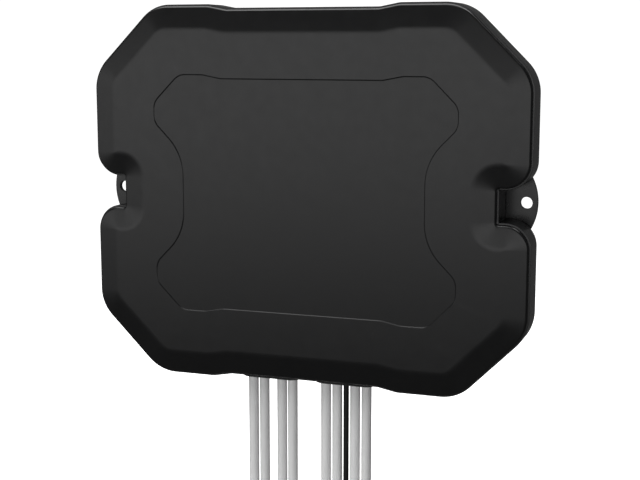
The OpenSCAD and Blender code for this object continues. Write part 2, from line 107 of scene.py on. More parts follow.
# leads: place at the exit, diameter, coil radius, turns
COAX_D = 5.8
THIN_D = 3.2
COIL_R_MAX = 42.3
LEADS = [
    (-EXIT_X - 12, COAX_D, 24.0, 5),
    (-EXIT_X - 5.3, COAX_D, 30.1, 4),
    (-EXIT_X + 5.5, COAX_D, 36.2, 3),
    (-EXIT_X + 12, COAX_D, COIL_R_MAX, 3),
    (EXIT_X - 12, COAX_D, COIL_R_MAX, 3),
    (EXIT_X - 5.3, COAX_D, 36.2, 3),
    (EXIT_X, THIN_D, 19.0, 6),
    (EXIT_X + 5.3, COAX_D, 30.1, 4),
    (EXIT_X + 12, COAX_D, 24.0, 5),
]
COIL_X = 54.0
COIL_Z = -223.5
COIL_PITCH = 6.75
COIL_LEAN = 0.04
THIN_COIL_Y = -5.8
TAIL_Z = COIL_Z - 72
# heights where a lead begins to swing sideways and to lean back to its coil, and over what drop
SWING_Z, SWING_DROP = -170, 53
LEAN_Z, LEAN_DROP = -165, 28
TIE_HALF_W = 5.9

# plugs
FERRULE_LEN = 8
PLUG_FRONT = 11
NUT_AF = 8.0
NUT_LEN = 8.0
NUT_DROP = 3.2

FLOOR_Z = -478

# ---------------------------------------------------------------- camera
cam_data = bpy.data.cameras.new("camera")
cam_data.sensor_width = 36
cam_data.lens = 70.8
cam = bpy.data.objects.new("camera", cam_data)
cam.location = (0.23748, -0.66466, 0.08415)
cam.rotation_euler = Vector((-0.3297, 0.9313, -0.155)).to_track_quat("-Z", "Y").to_euler()
bpy.context.scene.collection.objects.link(cam)
bpy.context.scene.camera = cam


# ---------------------------------------------------------------- material nodes
def mat(name, build):
    m = bpy.data.materials.new(name)
    m.use_nodes = True
    tree = m.node_tree
    tree.nodes.clear()
    out = tree.nodes.new("ShaderNodeOutputMaterial")
    shader = tree.nodes.new("ShaderNodeBsdfPrincipled")
    tree.links.new(shader.outputs["BSDF"], out.inputs["Surface"])
    build(tree, shader)
    return m


def coords(tree):
    return tree.nodes.new("ShaderNodeTexCoord").outputs["Object"]


def noise(tree, scale, detail=3.0, rough=0.5, stretch=None):
    n = tree.nodes.new("ShaderNodeTexNoise")
    n.inputs["Scale"].default_value = scale
    n.inputs["Detail"].default_value = detail
    n.inputs["Roughness"].default_value = rough
    v = coords(tree)
    if stretch:
        mapping = tree.nodes.new("ShaderNodeMapping")
        mapping.inputs["Scale"].default_value = stretch
        tree.links.new(v, mapping.inputs["Vector"])
        v = mapping.outputs["Vector"]
    tree.links.new(v, n.inputs["Vector"])
    return n.outputs["Fac"]


def two_tone(tree, fac, low, high):
    """Colour that goes from low to high over the middle of fac's range."""
    ramp = tree.nodes.new("ShaderNodeValToRGB")
    for stop, place, color in zip(ramp.color_ramp.elements, (0.3, 0.7), (low, high)):
        stop.position = place
        stop.color = (*color, 1)
    tree.links.new(fac, ramp.inputs["Fac"])
    return ramp.outputs["Color"]


def math_node(tree, op, a, b):
    n = tree.nodes.new("ShaderNodeMath")
    n.operation = op
    for k, x in enumerate((a, b)):
        if isinstance(x, (int, float)):
            n.inputs[k].default_value = x
        else:
            tree.links.new(x, n.inputs[k])
    return n.outputs[0]


def ranged(tree, fac, low, high):
    n = tree.nodes.new("ShaderNodeMapRange")
    n.inputs["To Min"].default_value = low
    n.inputs["To Max"].default_value = high
    tree.links.new(fac, n.inputs["Value"])
    return n.outputs["Result"]


def bump(tree, shader, height, strength, distance, before=None):
    b = tree.nodes.new("ShaderNodeBump")
    b.inputs["Strength"].default_value = strength
    b.inputs["Distance"].default_value = distance
    tree.links.new(height, b.inputs["Height"])
    if before:
        tree.links.new(before, b.inputs["Normal"])
    tree.links.new(b.outputs["Normal"], shader.inputs["Normal"])
    return b.outputs["Normal"]


def lighter(color, gain, lift=0.0):
    return tuple(min(1, gain * x + lift) for x in color)


def worn(tree, color, edge_color, amount):
    """Lighter rubbed edges, broken up by noise."""
    geo = tree.nodes.new("ShaderNodeNewGeometry")
    sharp = ranged(tree, geo.outputs["Pointiness"], -9.5, 10.5)
    sharp = math_node(tree, "MULTIPLY", sharp, noise(tree, 420, 4, 0.6))
    sharp = math_node(tree, "MULTIPLY", sharp, amount)
    sharp.node.use_clamp = True
    mix = tree.nodes.new("ShaderNodeMix")
    mix.data_type = "RGBA"
    tree.links.new(sharp, mix.inputs["Factor"])
    tree.links.new(color, mix.inputs[6])
    mix.inputs[7].default_value = (*edge_color, 1)
    return mix.outputs[2]


# ---------------------------------------------------------------- materials
def moulded(name, low, high, rough, grain=2600, depth=0.00002, strength=0.25, spec=0.5, edge=0.25):
    """Moulded plastic or rubber: a spark-eroded grain, faint mottling and rubbed edges."""

    def build(tree, shader):
        base = two_tone(tree, noise(tree, 38, 4, 0.6), low, high)
        tree.links.new(worn(tree, base, lighter(high, 2.2, 0.01), edge), shader.inputs["Base Color"])
        uneven = ranged(tree, noise(tree, 160, 5, 0.6), rough - 0.05, rough + 0.05)
        tree.links.new(uneven, shader.inputs["Roughness"])
        shader.inputs["Specular IOR Level"].default_value = spec
        fine = bump(tree, shader, noise(tree, grain, 2, 0.5), strength, depth)
        bump(tree, shader, noise(tree, 95, 2, 0.5), 0.05, 0.0002, before=fine)

    return mat(name, build)


def metal(name, low, high, rough, stretch=(1, 1, 40), scale=60):
    """Metal with tool or rolling streaks across the stretched axis."""

    def build(tree, shader):
        base = two_tone(tree, noise(tree, 70, 4, 0.6), low, high)
        tree.links.new(worn(tree, base, lighter(high, 1.25), 0.3), shader.inputs["Base Color"])
        shader.inputs["Metallic"].default_value = 1
        streak = noise(tree, scale, 4, 0.6, stretch=stretch)
        tree.links.new(ranged(tree, streak, rough - 0.08, rough + 0.1), shader.inputs["Roughness"])
        bump(tree, shader, streak, 0.12, 0.00003)

    return mat(name, build)


def jacket(name, low, high, rough, spec=0.5):
    """Extruded cable jacket: faint drawn streaks along its run, scuffs and soft mottling."""

    def build(tree, shader):
        base = two_tone(tree, noise(tree, 55, 4, 0.55, stretch=(1, 1, 0.25)), low, high)
        tree.links.new(worn(tree, base, lighter(high, 1.15), 0.1), shader.inputs["Base Color"])
        scuffs = ranged(tree, noise(tree, 260, 4, 0.6), rough - 0.06, rough + 0.06)
        tree.links.new(scuffs, shader.inputs["Roughness"])
        shader.inputs["Specular IOR Level"].default_value = spec
        fine = bump(tree, shader, noise(tree, 900, 3, 0.5, stretch=(1, 1, 0.12)), 0.12, 0.00003)
        bump(tree, shader, noise(tree, 2400, 2, 0.5), 0.08, 0.00001, before=fine)

    return mat(name, build)


def woven(name, low, high):
    """Hook-and-loop fabric: a matt nap of small cells."""

    def build(tree, shader):
        base = two_tone(tree, noise(tree, 700, 3, 0.6), low, high)
        tree.links.new(base, shader.inputs["Base Color"])
        tree.links.new(ranged(tree, noise(tree, 300, 3, 0.5), 0.8, 0.98), shader.inputs["Roughness"])
        shader.inputs["Specular IOR Level"].default_value = 0.2
        cells = tree.nodes.new("ShaderNodeTexVoronoi")
        cells.inputs["Scale"].default_value = 1700
        tree.links.new(coords(tree), cells.inputs["Vector"])
        bump(tree, shader, cells.outputs["Distance"], 0.7, 0.0003)

    return mat(name, build)


def board(name, low, high):
    """Circuit board: green lacquer over a fine weave."""

    def build(tree, shader):
        base = two_tone(tree, noise(tree, 90, 4, 0.6), low, high)
        tree.links.new(worn(tree, base, (0.3, 0.25, 0.12), 0.3), shader.inputs["Base Color"])
        tree.links.new(ranged(tree, noise(tree, 220, 3, 0.5), 0.28, 0.42), shader.inputs["Roughness"])
        bump(tree, shader, noise(tree, 1500, 2, 0.5), 0.15, 0.00004)

    return mat(name, build)


def grey(value):
    return (value, value, value)


M_COVER = moulded(
    "cover_plastic", (0.0014, 0.00145, 0.0016), (0.0020, 0.00205, 0.0022), 0.25, spec=0.225, strength=0.22
)
M_HOUSING = moulded(
    "tray_plastic", (0.0028, 0.0029, 0.0031), (0.0040, 0.0041, 0.0043), 0.28,
    grain=2200, depth=0.00003, spec=0.25,
)
M_RUBBER = moulded(
    "seal_rubber", grey(0.006), grey(0.01), 0.62, grain=3000, strength=0.2, spec=0.25, edge=0.15
)
M_INNER = moulded("inner_plastic", (0.03, 0.03, 0.031), (0.045, 0.045, 0.046), 0.5)
M_POST = moulded("post_plastic", (0.62, 0.58, 0.48), (0.74, 0.70, 0.60), 0.45)
M_VENT = moulded("vent_plastic", grey(0.01), grey(0.018), 0.5)
M_CERAMIC = moulded("patch_ceramic", (0.52, 0.47, 0.36), (0.66, 0.61, 0.50), 0.5, grain=1500)
M_BOOT = moulded("boot_sleeve", grey(0.008), grey(0.014), 0.4, grain=1800)
M_STEEL = metal("zinc_steel", (0.45, 0.45, 0.46), (0.60, 0.60, 0.61), 0.32)
M_ALU = metal("sheet_aluminium", (0.62, 0.63, 0.64), (0.74, 0.74, 0.75), 0.36, stretch=(40, 1, 1))
M_BRASS = metal("stamped_brass", (0.52, 0.34, 0.11), (0.66, 0.46, 0.18), 0.3, stretch=(30, 1, 1))
M_PLUG = metal("plated_brass", (0.72, 0.50, 0.19), (0.86, 0.64, 0.29), 0.24, stretch=(1, 1, 6), scale=300)
M_BOARD = board("circuit_board", (0.012, 0.075, 0.025), (0.02, 0.11, 0.04))
M_GREY = jacket("grey_jacket", grey(0.62), grey(0.71), 0.5)
M_BLACK = jacket("black_jacket", grey(0.002), grey(0.0035), 0.45, spec=0.2)
M_TIE = woven("tie_fabric", (0.008, 0.008, 0.009), (0.022, 0.022, 0.024))

BY_SLOT = {
    "housing_plastic": M_HOUSING, "seal_rubber": M_RUBBER, "inner_plastic": M_INNER,
    "post_plastic": M_POST, "steel": M_STEEL, "plate_aluminium": M_ALU,
    "element_brass": M_BRASS, "circuit_board": M_BOARD, "patch_ceramic": M_CERAMIC,
    "grey_jacket": M_GREY, "black_jacket": M_BLACK, "tie_fabric": M_TIE,
    "boot_sleeve": M_BOOT, "plug_brass": M_PLUG,
}


def paint_cad_pieces():
    """A material for each piece of the frame, by its slot in the record."""
    for part in frame["record"]["subparts"]:
        mesh = frame["nodes"][part["node"]].data
        mesh.materials.clear()
        mesh.materials.append(M_VENT if part["node"] == "vent_plug" else BY_SLOT[part["material_slot"]])


paint_cad_pieces()


# ---------------------------------------------------------------- objects and meshes
def link(name, data):
    obj = bpy.data.objects.new(name, data)
    bpy.context.scene.collection.objects.link(obj)
    return obj


def add_piece(name, mesh, material, body="unit", nodes=()):
    """A piece of the object that moves with a CAD body and stands for these CAD nodes."""
    obj = link(name, mesh)
    mesh.materials.clear()
    mesh.materials.append(material)
    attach(obj, body)
    if nodes:
        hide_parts(*nodes)
    return obj


def weigh(obj):
    """Even shading over flat faces that meet small roundings."""
    w = obj.modifiers.new("weight", "WEIGHTED_NORMAL")
    w.keep_sharp = True
    w.weight = 100


def raw_mesh(bm, name):
    bmesh.ops.recalc_face_normals(bm, faces=bm.faces)
    mesh = bpy.data.meshes.new(name)
    bm.to_mesh(mesh)
    bm.free()
    return mesh


def smooth_mesh(bm, name, angle=32):
    mesh = raw_mesh(bm, name)
    for p in mesh.polygons:
        p.use_smooth = True
    mesh.set_sharp_from_angle(angle=math.radians(angle))
    return mesh


def angles(count):
    return [2 * math.pi * k / count for k in range(count)]


def circle(r, count):
    return [(r * math.cos(a), r * math.sin(a)) for a in angles(count)]


def level_loop(bm, points, at, z):
    """Vertices of an outline in a horizontal plane, moved to at."""
    return [bm.verts.new(((at[0] + x) * MM, (at[1] + y) * MM, z * MM)) for x, y in points]


def upright_loop(bm, points, y, at=(0, 0)):
    """Vertices of an outline at one depth, moved to at."""
    return [bm.verts.new(((at[0] + x) * MM, y * MM, (at[1] + z) * MM)) for x, z in points]


def band(bm, p, q):
    """Faces between two loops of the same length. Either may be a single point."""
    n = max(len(p), len(q))
    for k in range(n):
        m = (k + 1) % n
        near = [p[k], p[m]] if len(p) > 1 else p
        far = [q[m], q[k]] if len(q) > 1 else q
        if len(near) + len(far) > 2:
            bm.faces.new(near + far)


def skin(bm, loops, closed=False):
    """Surface through the loops in turn, and back to the first one if it is closed."""
    for p, q in zip(loops, loops[1:]):
        band(bm, p, q)
    if closed:
        band(bm, loops[-1], loops[0])


def capped(bm, loops):
    skin(bm, loops)
    bm.faces.new(loops[0])
    bm.faces.new(loops[-1])


def rod(bm, at, r, y_back, y_front, count=40):
    outline = circle(r, count)
    capped(bm, [upright_loop(bm, outline, y, at) for y in (y_back, y_front)])


def block(bm, x_span, y_span, z_span):
    """Box between these pairs of places."""
    made = bmesh.ops.create_cube(bm, size=1.0)
    for v in made["verts"]:
        v.co = Vector([span[c > 0] * MM for span, c in zip((x_span, y_span, z_span), v.co)])


def lathe(name, profile, at, count=56):
    """Closed solid of revolution about the vertical through at: profile is (radius, height)."""
    bm = bmesh.new()
    loops = [
        level_loop(bm, circle(r, count) if r else [(0, 0)], at, at[2] + z)
        for r, z in profile
    ]
    skin(bm, loops, closed=True)
    return smooth_mesh(bm, name)


def ease(t):
    t = min(1, max(0, t))
    return t * t * (3 - 2 * t)


# ---------------------------------------------------------------- leads and plugs, first
def side_of(x):
    return 1 if x > 0 else -1


def plug_place(i):
    """Where lead i ends in its plug: the shoulder of the CAD plug, on its axis."""
    low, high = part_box(f"plug_{i}")
    x, y = ((low[k] + high[k]) / 2 / MM for k in range(2))
    return x, y, low[2] / MM + PLUG_FRONT


def lead_points(x, d, radius, turns, plug):
    """A lead's route: down from its exit, round its coil and down to its plug."""
    side = side_of(x)
    first_y = THIN_COIL_Y if d == THIN_D else LEAD_Y + COIL_LEAN * (COIL_R_MAX - radius)
    entry = side * (COIL_X - radius)
    start_z = EXIT_Z + 0.3
    pts = []
    for k in range(20):
        z = start_z + (COIL_Z - start_z) * k / 20
        sideways = ease((SWING_Z - z) / SWING_DROP)
        backwards = ease((LEAN_Z - z) / LEAN_DROP)
        pts.append((x + sideways * (entry - x), LEAD_Y + backwards * (first_y - LEAD_Y), z))
    per_turn = 36
    for k in range(turns * per_turn + 1):
        a = 2 * math.pi * k / per_turn
        y = first_y - COIL_PITCH * k / per_turn
        pts.append((side * (COIL_X - radius * math.cos(a)), y, COIL_Z - radius * math.sin(a)))
    for k in range(1, 13):
        t = k / 12
        pts.append((entry + ease(t) * (plug[0] - entry), plug[1], COIL_Z + t * (TAIL_Z - COIL_Z)))
    for k in range(1, 9):
        pts.append((plug[0], plug[1], TAIL_Z + (plug[2] - TAIL_Z) * k / 8))
    return [Vector(p) * MM for p in pts]


def lead_curve(name, pts, d, material):
    curve = bpy.data.curves.new(name, "CURVE")
    curve.dimensions = "3D"
    curve.bevel_depth = d / 2 * MM
    curve.bevel_resolution = 6
    curve.use_fill_caps = True
    spline = curve.splines.new("POLY")
    spline.points.add(len(pts) - 1)
    for p, q in zip(spline.points, pts):
        p.co = (*q, 1)
    spline.use_smooth = True
    curve.materials.append(material)
    return link(name, curve)


def plug_profile(core_r, ferrule_r):
    """Crimp ferrule, shoulder, neck with its retaining ring, and the hollow front."""
    return [
        (core_r, FERRULE_LEN), (ferrule_r - 0.1, FERRULE_LEN), (ferrule_r, FERRULE_LEN - 0.1), (ferrule_r, 0),
        (3.0, 0), (3.1, -0.1), (3.1, -2.9), (3.0, -3.0),
        (2.5, -3.0), (2.5, -4.7), (2.92, -4.7), (3.0, -4.8), (3.0, -5.4), (2.9, -5.5), (2.3, -5.5),
        (2.3, 0.1 - PLUG_FRONT), (2.2, -PLUG_FRONT), (0.45, -PLUG_FRONT),
        (0.45, -0.5), (0, -0.5), (0, 0), (core_r, 0),
    ]


PIN_PROFILE = [(0, -0.6), (0.44, -0.6), (0.44, -11.9), (0.36, -12.15), (0.2, -12.4), (0, -12.4)]


def boot_profile(core_r, ferrule_r):
    """Heat-shrink sleeve: tight over the ferrule, then tapering to the jacket."""
    return [
        (ferrule_r, 0.4), (ferrule_r + 0.42, 0.4), (ferrule_r + 0.5, 0.5), (ferrule_r + 0.5, 8.4),
        (ferrule_r + 0.36, 9.2), (core_r + 0.66, 10.2), (core_r + 0.52, 11.2), (core_r + 0.48, 17.8),
        (core_r + 0.4, 18), (core_r, 18), (core_r, FERRULE_LEN + 0.2), (ferrule_r, FERRULE_LEN),
    ]


def nut_mesh(name, at):
    """Coupling nut with turned chamfers and a threaded bore. Its upper end is at."""
    turns = angles(72)
    half = NUT_AF / 2
    flats = [half / math.cos((a + math.pi / 6) % (math.pi / 3) - math.pi / 6) for a in turns]
    chamfered = [min(r, 1.02 * half) for r in flats]
    sections = [(chamfered, 0), (flats, -0.35), (flats, 0.35 - NUT_LEN), (chamfered, -NUT_LEN)]
    bore = [(3.32, -NUT_LEN)]
    z = 0.25 - NUT_LEN
    while z < -2.4:
        bore += [(3.26, z), (3.05, z + 0.22), (3.26, z + 0.44)]
        z += 0.62
    bore += [(3.3, -1.3), (3.3, -1.2), (2.58, -1.2), (2.58, 0)]
    sections += [([r] * len(turns), z) for r, z in bore]
    bm = bmesh.new()
    loops = []
    for radii, z in sections:
        outline = [(r * math.cos(a), r * math.sin(a)) for r, a in zip(radii, turns)]
        loops.append(level_loop(bm, outline, at, at[2] + z))
    skin(bm, loops, closed=True)
    return smooth_mesh(bm, name, 25)


def add_lead(i, x, d, radius, turns):
    plug = plug_place(i)
    black = d == THIN_D
    lead = lead_curve(f"cord_{i}", lead_points(x, d, radius, turns, plug), d, M_BLACK if black else M_GREY)
    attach(lead, "unit")
    coil = {1: ["coil_left"], len(LEADS): ["coil_right"]}.get(i, [])
    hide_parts(f"lead_{i}", *coil)

    core_r = d / 2
    ferrule_r = core_r + 0.7
    nut_at = (plug[0], plug[1], plug[2] - NUT_DROP)
    body_mesh = lathe(f"plug_body_{i}", plug_profile(core_r, ferrule_r), plug)
    pin_mesh = lathe(f"plug_pin_{i}", PIN_PROFILE, plug, 24)
    boot_mesh = lathe(f"plug_boot_{i}", boot_profile(core_r, ferrule_r), plug, 48)
    pieces = [
        add_piece(f"plug_body_{i}", body_mesh, M_PLUG, nodes=[f"plug_{i}"]),
        add_piece(
            f"plug_nut_{i}", nut_mesh(f"plug_nut_{i}", nut_at), M_PLUG,
            body=f"nut_body_{i}", nodes=[f"nut_{i}"],
        ),
        add_piece(f"plug_pin_{i}", pin_mesh, M_PLUG, nodes=["plug_pins"] if i == 1 else ()),
        add_piece(f"plug_boot_{i}", boot_mesh, M_BOOT, nodes=["plug_boots"] if i == 1 else ()),
    ]


for number, lead_facts in enumerate(LEADS, 1):
    add_lead(number, *lead_facts)


# ---------------------------------------------------------------- outlines in the x-z plane
def direction(a, b):
    dx, dz = b[0] - a[0], b[1] - a[1]
    n = math.hypot(dx, dz)
    return dx / n, dz / n


def turn_of(u, v):
    return math.atan2(u[0] * v[1] - u[1] * v[0], u[0] * v[0] + u[1] * v[1])


def corner_dirs(corners, i):
    """The corner before this one, this one, the next one, and the directions between them."""
    a, b, e = corners[i - 1], corners[i], corners[(i + 1) % len(corners)]
    return a, b, e, direction(a, b), direction(b, e)


def inset(corners, d):
    """The outline moved inwards by d. Corners are (x, z, radius), anticlockwise from the front."""
    out = []
    for i in range(len(corners)):
        _, b, _, u, v = corner_dirs(corners, i)
        m, k = (-u[1], u[0]), (-v[1], v[0])
        s = d / (1 + m[0] * k[0] + m[1] * k[1])
        r = b[2] - d * (1 if turn_of(u, v) > 0 else -1)
        out.append((b[0] + s * (m[0] + k[0]), b[1] + s * (m[1] + k[1]), max(r, 0.35)))
    return out


def rounded(corners, step=3.0):
    """Points of the outline, with an arc of its radius at each corner, a point for each step of turn."""
    pts = []
    for i in range(len(corners)):
        _, b, _, u, v = corner_dirs(corners, i)
        t = turn_of(u, v)
        r = b[2]
        run = r * math.tan(abs(t) / 2)
        start_x, start_z = b[0] - u[0] * run, b[1] - u[1] * run
        sign = 1 if t > 0 else -1
        steps = max(4, int(math.degrees(abs(t)) / step + 0.5))
        for k in range(steps + 1):
            w = abs(t) * k / steps
            along, across = r * math.sin(w), sign * r * (1 - math.cos(w))
            pts.append((start_x + u[0] * along - u[1] * across, start_z + u[1] * along + u[0] * across))
    return pts


def stadium(w, t, count=20):
    """A slot's outline, w wide and t thick."""
    pts = []
    for s in (1, -1):
        for k in range(count + 1):
            a = -math.pi / 2 + math.pi * k / count
            pts.append((s * ((w - t) / 2 + t / 2 * math.cos(a)), s * t / 2 * math.sin(a)))
    return pts


def four_fold(quarter):
    """The whole outline from its lower right quarter."""
    half = quarter + [(x, -z, r) for x, z, r in reversed(quarter)]
    return half + [(-x, z, r) for x, z, r in reversed(half)]


BODY = four_fold([
    (43.5, -MID_Z, 8), (54.5, -WING_Z, 14), (HALF_W - CORNER_CUT, -WING_Z, CORNER_R),
    (HALF_W, CORNER_CUT - WING_Z, CORNER_R), (HALF_W, -NOTCH_Z, LOBE_R), (NOTCH_X, -NOTCH_Z, NOTCH_R),
])
PANEL = four_fold([
    (46.5, -64.5, 6), (57.5, -66.6, 6), (71.8, -66.6, 9), (87.4, -51, 9), (87.4, -40, 9), (70, -22.4, 30),
])


def ring(bm, corners, d, y):
    """Loop of vertices round an outline, d inwards from it, at one depth."""
    return upright_loop(bm, rounded(inset(corners, d)), y)


def loop_edges(bm, loop):
    """The edges of a loop, made where a face hasn't made them yet."""
    ends = zip(loop, loop[1:] + loop[:1])
    return [bm.edges.get(pair) or bm.edges.new(pair) for pair in ends]


# ---------------------------------------------------------------- front cover
def rim_profile():
    """Section of the cover from inside its lip to its face: (distance inwards, depth)."""
    lip_in, lip_out, chamfer = 3.8, 2.0, 0.2
    profile = [
        (lip_in, PARTING_Y), (lip_in, LIP_Y - chamfer), (lip_in - chamfer, LIP_Y),
        (lip_out + chamfer, LIP_Y), (lip_out, LIP_Y - chamfer), (lip_out, PARTING_Y),
        (0.5, PARTING_Y), (0.12, PARTING_Y - 0.06), (0.0, PARTING_Y - 0.22),
    ]
    rim_r, rim_y = 1.25, PARTING_Y - 0.35
    for k in range(11):
        a = math.radians(81.4 * k / 10)
        profile.append((rim_r - rim_r * math.cos(a), rim_y - rim_r * math.sin(a)))
    # a flat bevel that fades into the face over the last 3 mm
    start, start_y = profile[-1]
    bevel_end, fade = 11, 3
    slope = (start_y - FACE_Y) / (bevel_end + fade / 2 - start)
    for k in range(1, 9):
        profile.append((
            start + (bevel_end - start) * k / 8,
            start_y - slope * (bevel_end - start) * k / 8,
        ))
    end_y = profile[-1][1]
    for k in range(1, 9):
        t = fade * k / 8
        profile.append((bevel_end + t, end_y - slope * t + slope * t ** 2 / (2 * fade)))
    return profile


def cover_mesh():
    bm = bmesh.new()
    rim = [ring(bm, BODY, d, y) for d, y in rim_profile()]
    skin(bm, rim)
    bm.faces.new(rim[0])
    edge_w, edge_depth = 0.68, 0.38
    edge = [
        ring(bm, PANEL, edge_w * (k / 8 - 0.5), FACE_Y + edge_depth * ease(k / 8))
        for k in range(9)
    ]
    skin(bm, edge)
    bm.faces.new(edge[-1])
    bmesh.ops.triangle_fill(bm, use_beauty=True, edges=loop_edges(bm, rim[-1]) + loop_edges(bm, edge[0]))
    return smooth_mesh(bm, "cover", 40)


cover = add_piece("cover", cover_mesh(), M_COVER, nodes=["front_cover"])
weigh(cover)


# ---------------------------------------------------------------- tray with its ears
def tray_profile():
    """Section of the tray from its inner back edge over its front edge to its back."""
    inner = WALL_T - TRAY_PROUD
    back_in, back_r = 4.5, 6
    profile = [
        (inner, -WALL_T), (inner, TRAY_FRONT_Y + 0.25), (inner - 0.25, TRAY_FRONT_Y),
        (-0.7, TRAY_FRONT_Y), (-0.92, TRAY_FRONT_Y + 0.1), (-TRAY_PROUD, TRAY_FRONT_Y + 0.3),
        (-TRAY_PROUD, -14), (-TRAY_PROUD, -back_r),
    ]
    for k in range(1, 11):
        a = math.radians(90 - 9 * k)
        profile.append((back_in - (back_in + TRAY_PROUD) * math.sin(a), back_r * (math.cos(a) - 1)))
    return profile


def tray_cutter():
    """Everything that is cut through the tray's wall: screw holes, the vent and the cable exits."""
    bm = bmesh.new()
    for at in COVER_SCREWS:
        rod(bm, at, COUNTERBORE_R, 1, COUNTERBORE_Y)
        rod(bm, at, SCREW_HOLE_R, COUNTERBORE_Y + 0.5, POST_Y - 1)
    rod(bm, VENT_AT, VENT_R, 1, -4, 48)
    for x in (-EXIT_X, EXIT_X):
        capped(bm, [
            level_loop(bm, stadium(NECK_W - 0.2, NECK_T - 0.2), (x, LEAD_Y), z)
            for z in (WALL_OUT_Z - 5, WALL_OUT_Z + 5)
        ])
    return raw_mesh(bm, "cutter")


def cut_tray():
    """The tray's shell with its holes, as a mesh."""
    bm = bmesh.new()
    capped(bm, [ring(bm, BODY, d, y) for d, y in tray_profile()])
    shell = link("shell", raw_mesh(bm, "shell"))
    cutter = link("cutter", tray_cutter())
    holes = shell.modifiers.new("holes", "BOOLEAN")
    holes.operation = "DIFFERENCE"
    holes.solver = "EXACT"
    holes.object = cutter
    deps = bpy.context.evaluated_depsgraph_get()
    deps.update()
    mesh = bpy.data.meshes.new_from_object(shell.evaluated_get(deps))
    for obj in (shell, cutter):
        bpy.data.objects.remove(obj)
    return mesh


def ear_reach(a):
    """Distance from the middle of the ear's hole to the ear's edge, in direction a."""
    c, s = math.cos(a), math.sin(a)
    off = HOLE_X - EAR_ARC_X
    found = [math.sqrt((off * c) ** 2 + EAR_R ** 2 - off ** 2) - off * c]
    if c < -1e-9:
        found.append((EAR_ROOT_X - HOLE_X) / c)
    if abs(s) > 1e-9:
        found.append(EAR_HALF_H / abs(s))
    return min(found)


def ear_loops(side):
    """Loops of points from the back of the ear, over its edge and front, and back through its hole."""
    turns = angles(96)
    edge = [(0.35, 0), (0, -0.35), (0, 0.45 - EAR_T), (0.13, 0.13 - EAR_T), (0.45, -EAR_T)]
    hole = [(0.3, -EAR_T), (0.08, 0.1 - EAR_T), (0, 0.3 - EAR_T), (0, -0.3), (0.3, 0)]
    sections = [([ear_reach(a) - d for a in turns], y) for d, y in edge]
    sections += [([HOLE_R + d for _ in turns], y) for d, y in hole]
    return [
        [
            (side * (HOLE_X + r * math.cos(a)) * MM, y * MM, r * math.sin(a) * MM)
            for r, a in zip(radii, turns)
        ]
        for radii, y in sections
    ]


def tray_mesh():
    bm = bmesh.new()
    bm.from_mesh(cut_tray())
    for side in (-1, 1):
        skin(bm, [[bm.verts.new(p) for p in loop] for loop in ear_loops(side)], closed=True)
    # radius and depth, up the outside of a screw post and down its bore
    post = [
        (POST_R, 0.1 - WALL_T), (POST_R, POST_Y + 0.2), (POST_R - 0.2, POST_Y),
        (SCREW_HOLE_R, POST_Y), (SCREW_HOLE_R, COUNTERBORE_Y),
    ]
    for at in COVER_SCREWS:
        skin(bm, [upright_loop(bm, circle(r, 32), y, at) for r, y in post])
    for at in PLATE_SCREWS:
        rod(bm, at, PLATE_POST_R, 0.3 - WALL_T, PLATE_Y, 32)
    for x in (-EXIT_X, EXIT_X):
        block(bm, (x - SEAT_W / 2, x + SEAT_W / 2), (SEAT_Y, 0.3 - WALL_T), SEAT_Z)
    return smooth_mesh(bm, "tray", 35)


tray = add_piece("tray", tray_mesh(), M_HOUSING, nodes=["rear_housing"])
weigh(tray)


# ---------------------------------------------------------------- seal and cable exits
def seal_mesh():
    bm = bmesh.new()
    section = [
        (1.9, TRAY_FRONT_Y), (0.75, TRAY_FRONT_Y), (0.6, TRAY_FRONT_Y - 0.3),
        (0.6, PARTING_Y + 0.3), (0.75, PARTING_Y), (1.9, PARTING_Y),
    ]
    skin(bm, [ring(bm, BODY, d, y) for d, y in section], closed=True)
    return smooth_mesh(bm, "seal")


def exit_mesh(x):
    """Neck through the tray's wall and a flange with a rounded lower edge."""
    bm = bmesh.new()
    sections = [(NECK_W, NECK_T, WALL_OUT_Z + 3.1), (NECK_W, NECK_T, WALL_OUT_Z - 0.3)]
    flange = [
        (0.2, WALL_OUT_Z - 0.1), (0, WALL_OUT_Z - 0.3),
        (0, EXIT_Z + 0.9), (0.2, EXIT_Z + 0.4), (0.8, EXIT_Z + 0.1), (1.6, EXIT_Z),
    ]
    sections += [(FLANGE_W - trim, FLANGE_T - trim, z) for trim, z in flange]
    capped(bm, [level_loop(bm, stadium(w, t), (x, LEAD_Y), z) for w, t, z in sections])
    return smooth_mesh(bm, "exit", 50)


add_piece("seal", seal_mesh(), M_RUBBER, nodes=["gasket"])
for word, side in (("left", -1), ("right", 1)):
    add_piece(f"exit_{word}", exit_mesh(side * EXIT_X), M_RUBBER, nodes=[f"grommet_{word}"])


# ---------------------------------------------------------------- ties
# sections of the straps, inside and outside: (distance from the coil's axis, depth from the wall)
TIE_INNER = {
    -1: [(21, 8.3), (45.3, 8.3), (45.3, 35.2), (35, 35.2), (28.5, 47.9), (21, 47.9)],
    1: [
        (17.3, 4.1), (20.8, 4.1), (22.5, 8.3), (45.3, 8.3),
        (45.3, 35.2), (35, 35.2), (28.5, 47.9), (17.3, 47.9),
    ],
}
TIE_OUTER = {
    -1: [(20, 7.3), (46.3, 7.3), (46.3, 36.2), (35.6, 36.2), (29.1, 48.9), (20, 48.9)],
    1: [
        (16.3, 3.1), (21.4, 3.1), (23, 7.3), (46.3, 7.3),
        (46.3, 36.2), (35.6, 36.2), (29.1, 48.9), (16.3, 48.9),
    ],
}


